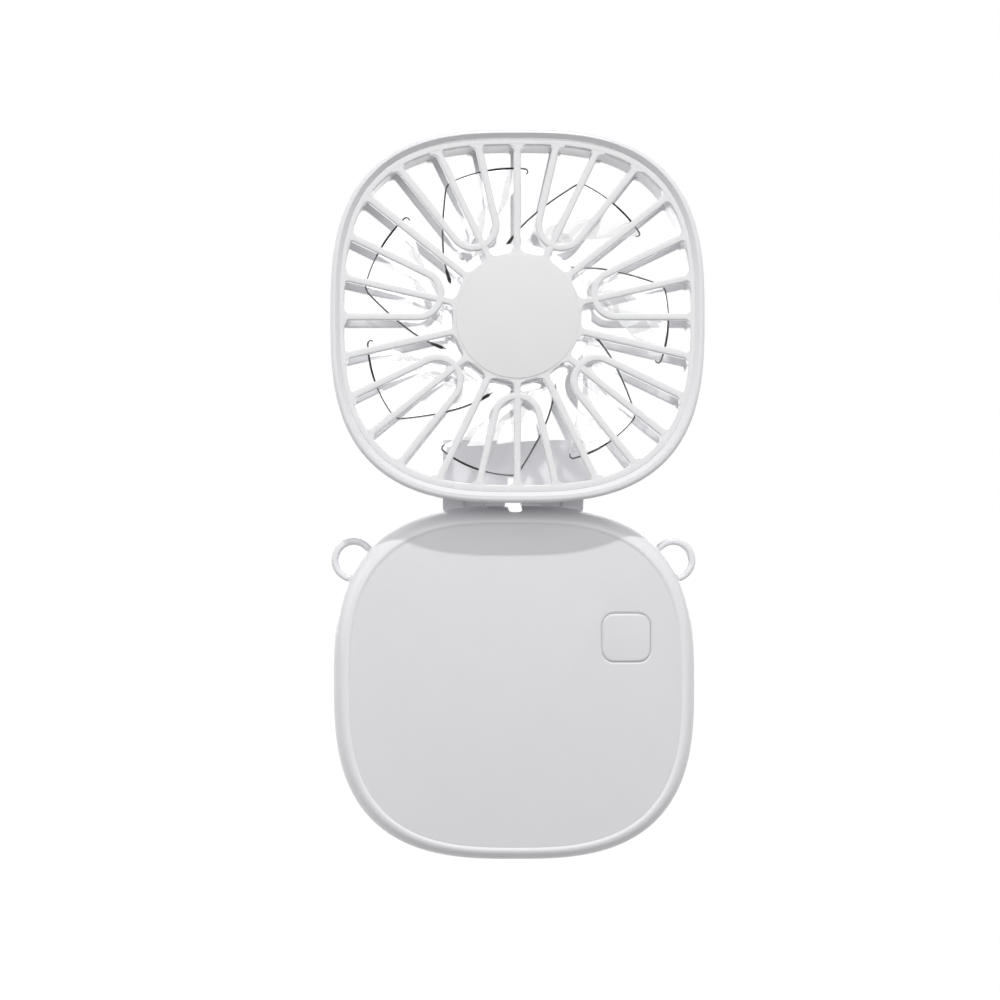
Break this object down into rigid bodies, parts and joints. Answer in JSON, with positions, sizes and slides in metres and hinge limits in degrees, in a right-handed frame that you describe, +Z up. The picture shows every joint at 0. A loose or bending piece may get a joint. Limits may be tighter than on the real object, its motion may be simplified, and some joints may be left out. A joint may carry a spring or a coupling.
{
  "type": "foldable mini fan",
  "caption": "Pocket fan: a square-round grille head with a clear impeller, hinged to fold back onto a flat battery base with a press button and side strap loops.",
  "frame": {"origin": "midway between the centres of the two strap loops, in the plane where the base's two shells meet", "axes": "+X to the right seen from the front, +Y towards the back, +Z up with the head open above the base"},
  "size_m": [0.0932, 0.0295, 0.182],
  "materials": {
    "shell_white": "fine satin moulded ABS",
    "grille_white": "smooth moulded ABS",
    "panel_satin": "satin",
    "hub_cap": "satin",
    "clear_blades": "clear polished polycarbonate",
    "bright_steel": "zinc plated",
    "bearing_steel": "ground",
    "magnet": "sintered ferrite",
    "copper": "enamelled winding wire",
    "board_green": "solder mask",
    "black_plastic": "moulded nylon",
    "lead_red": "wire insulation",
    "cell_wrap": "foil pouch"
  },
  "bodies": {
    "base": {"base_front_shell": "shell_white", "base_rear_shell": "shell_white", "base_front_panel": "panel_satin", "strap_loop_left": "shell_white", "strap_loop_right": "shell_white", "case_screw_1": "bright_steel", "case_screw_2": "bright_steel", "case_screw_3": "bright_steel", "case_screw_4": "bright_steel", "battery_pack": "cell_wrap", "battery_lead_red": "lead_red", "battery_lead_black": "black_plastic", "control_board": "board_green", "board_screw_1": "bright_steel", "board_screw_2": "bright_steel", "switch_body": "black_plastic", "usb_socket": "bright_steel"},
    "button": {"power_button": "panel_satin", "switch_plunger": "black_plastic"},
    "head": {"rear_housing": "shell_white", "rear_grille": "shell_white", "front_grille": "grille_white", "hub_cover": "hub_cap", "neck_leaf": "shell_white", "leaf_screw_1": "bright_steel", "leaf_screw_2": "bright_steel", "leaf_screw_3": "bright_steel", "leaf_screw_4": "bright_steel", "hinge_pin_left": "bright_steel", "hinge_pin_right": "bright_steel", "friction_washer_left": "bright_steel", "friction_washer_right": "bright_steel", "stator_core": "bright_steel", "winding_front": "copper", "winding_rear": "copper", "bearing_front": "bearing_steel", "bearing_rear": "bearing_steel", "motor_board": "board_green"},
    "fan": {"impeller": "clear_blades", "rotor_can": "bright_steel", "magnet_ring": "magnet", "motor_shaft": "bearing_steel"}
  },
  "joints": [
    {"name": "head_fold", "type": "hinge", "parent": "base", "child": "head", "pos_m": [0, 0.005, 0.01425], "axis": [-1, 0, 0], "range_deg": [0, 180]},
    {"name": "fan_spin", "type": "hinge", "parent": "head", "child": "fan", "pos_m": [0, -0.0095, 0.0603], "axis": [0, -1, 0], "continuous": true},
    {"name": "button_press", "type": "slide", "parent": "base", "child": "button", "axis": [0, 1, 0], "range_m": [0, 0.0004], "stiffness_N_per_m": 2500}
  ]
}
